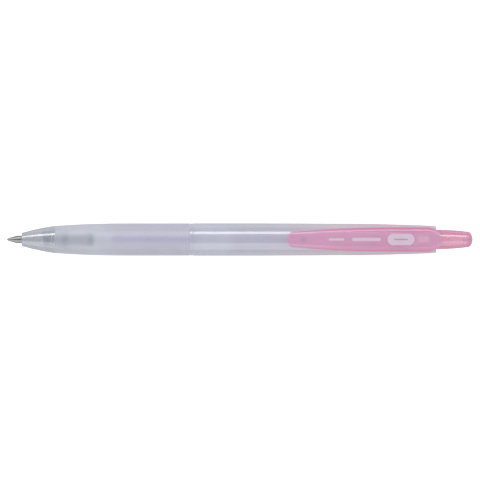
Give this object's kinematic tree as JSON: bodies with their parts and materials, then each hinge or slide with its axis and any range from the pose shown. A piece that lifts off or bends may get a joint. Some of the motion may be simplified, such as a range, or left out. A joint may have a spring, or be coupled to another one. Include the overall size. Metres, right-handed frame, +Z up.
{
  "type": "gel pen",
  "caption": "Retractable gel pen with a clear rubber grip, a frosted clear barrel, a pink spring clip, a click button and a lavender ink refill.",
  "frame": {"origin": "halfway along the pen, under its lowest line: the barrel's underside touches Z = 0 and its axis is 4.9 mm above it", "axes": "+X from the writing tip to the button along the pen's axis; +Z up through the clip; +Y to the left of someone who looks from the tip to the button"},
  "size_m": [0.141, 0.0098, 0.0123],
  "materials": {
    "front_barrel": "clear, glossy nose; the rest is under the grip",
    "grip": "clear rubber with a matte surface",
    "rear_barrel": "frosted clear, glossy outside",
    "tail_insert": "translucent pink",
    "clip": "translucent pink, glossy",
    "push_button": "translucent pink, glossy",
    "rotor": "smooth white",
    "spring": "drawn wire",
    "tip": "turned",
    "tip_ball": "polished",
    "tip_holder": "clear, slightly milky",
    "check_ball": "polished",
    "refill_tube": "clear, slightly milky",
    "ink": "wet lavender gel",
    "ink_follower": "clear grease",
    "tail_plug": "smooth white"
  },
  "bodies": {
    "barrel": {"front_barrel": "front_barrel", "grip": "grip", "rear_barrel": "rear_barrel", "tail_insert": "tail_insert"},
    "clip": {"clip": "clip"},
    "button": {"push_button": "push_button"},
    "refill": {"tip": "tip", "tip_holder": "tip_holder", "refill_tube": "refill_tube", "ink": "ink", "ink_follower": "ink_follower", "tail_plug": "tail_plug", "spring": "spring"},
    "rotor": {"rotor": "rotor"},
    "ball": {"tip_ball": "tip_ball"},
    "check_ball": {"check_ball": "check_ball"}
  },
  "joints": [
    {"name": "button_travel", "type": "slide", "parent": "barrel", "child": "button", "axis": [1, 0, 0], "range_m": [-0.0015, 0.0054], "stiffness_N_per_m": 250, "springref_m": 0.012},
    {"name": "refill_travel", "type": "slide", "parent": "barrel", "child": "refill", "axis": [1, 0, 0], "range_m": [-0.0015, 0.0054], "deforming": ["spring"]},
    {"name": "rotor_spin", "type": "hinge", "parent": "refill", "child": "rotor", "pos_m": [0.0375, 0, 0.0049], "axis": [1, 0, 0], "continuous": true},
    {"name": "clip_flex", "type": "hinge", "parent": "barrel", "child": "clip", "pos_m": [0.0556, 0, 0.0085], "axis": [0, 1, 0], "range_deg": [0, 3.2], "stiffness_Nm_per_rad": 4.5},
    {"name": "ball_roll", "type": "hinge", "parent": "refill", "child": "ball", "pos_m": [-0.07015, 0, 0.0049], "axis": [0, 1, 0], "continuous": true},
    {"name": "check_ball_float", "type": "slide", "parent": "refill", "child": "check_ball", "axis": [1, 0, 0], "range_m": [-0.0009, 0.0004]}
  ],
  "couplings": [
    {"joint": "refill_travel", "follows": "button_travel", "ratio": 1}
  ]
}
